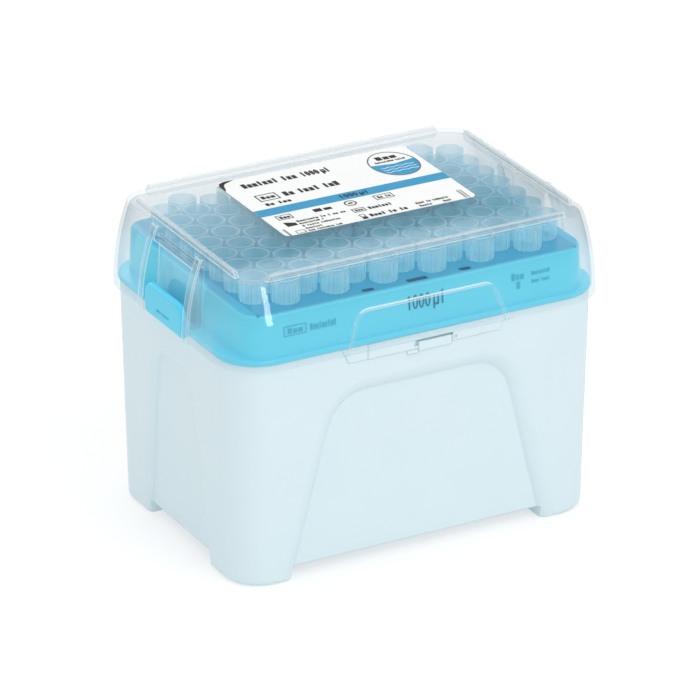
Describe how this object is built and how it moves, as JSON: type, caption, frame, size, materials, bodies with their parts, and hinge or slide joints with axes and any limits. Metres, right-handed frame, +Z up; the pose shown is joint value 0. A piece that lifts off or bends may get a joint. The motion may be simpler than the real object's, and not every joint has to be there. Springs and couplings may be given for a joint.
{
  "type": "box of pipette tips",
  "caption": "Lab rack box of large pipette tips: opaque base with arched recesses, clear blue tray with thumb tabs, finned tips in staggered rows, clear domed lid with a paper label.",
  "frame": {"origin": "centre of the foot plane under the base", "axes": "+X along the long side, +Y from the catch side to the far side, +Z up towards the lid"},
  "size_m": [0.1376, 0.0966, 0.1054],
  "materials": {
    "base_plastic": "fine satin moulded, opaque pale",
    "tray_plastic": "clear blue, glossy",
    "tip_plastic": "milky translucent, smooth",
    "lid_plastic": "clear, glossy",
    "label_paper": "coated white paper with blue print"
  },
  "bodies": {
    "base": {"base": "base_plastic", "tip_tray": "tray_plastic", "tips_column_01": "tip_plastic", "tips_column_02": "tip_plastic", "tips_column_03": "tip_plastic", "tips_column_04": "tip_plastic", "tips_column_05": "tip_plastic", "tips_column_06": "tip_plastic", "tips_column_07": "tip_plastic", "tips_column_08": "tip_plastic", "tips_column_09": "tip_plastic", "tips_column_10": "tip_plastic", "tips_column_11": "tip_plastic", "tips_column_12": "tip_plastic", "tips_column_13": "tip_plastic"},
    "lid": {"lid": "lid_plastic", "label": "label_paper"}
  },
  "joints": [
    {"name": "lid_lift", "type": "slide", "parent": "base", "child": "lid", "axis": [0, 0, 1], "range_m": [0, 0.06]}
  ]
}
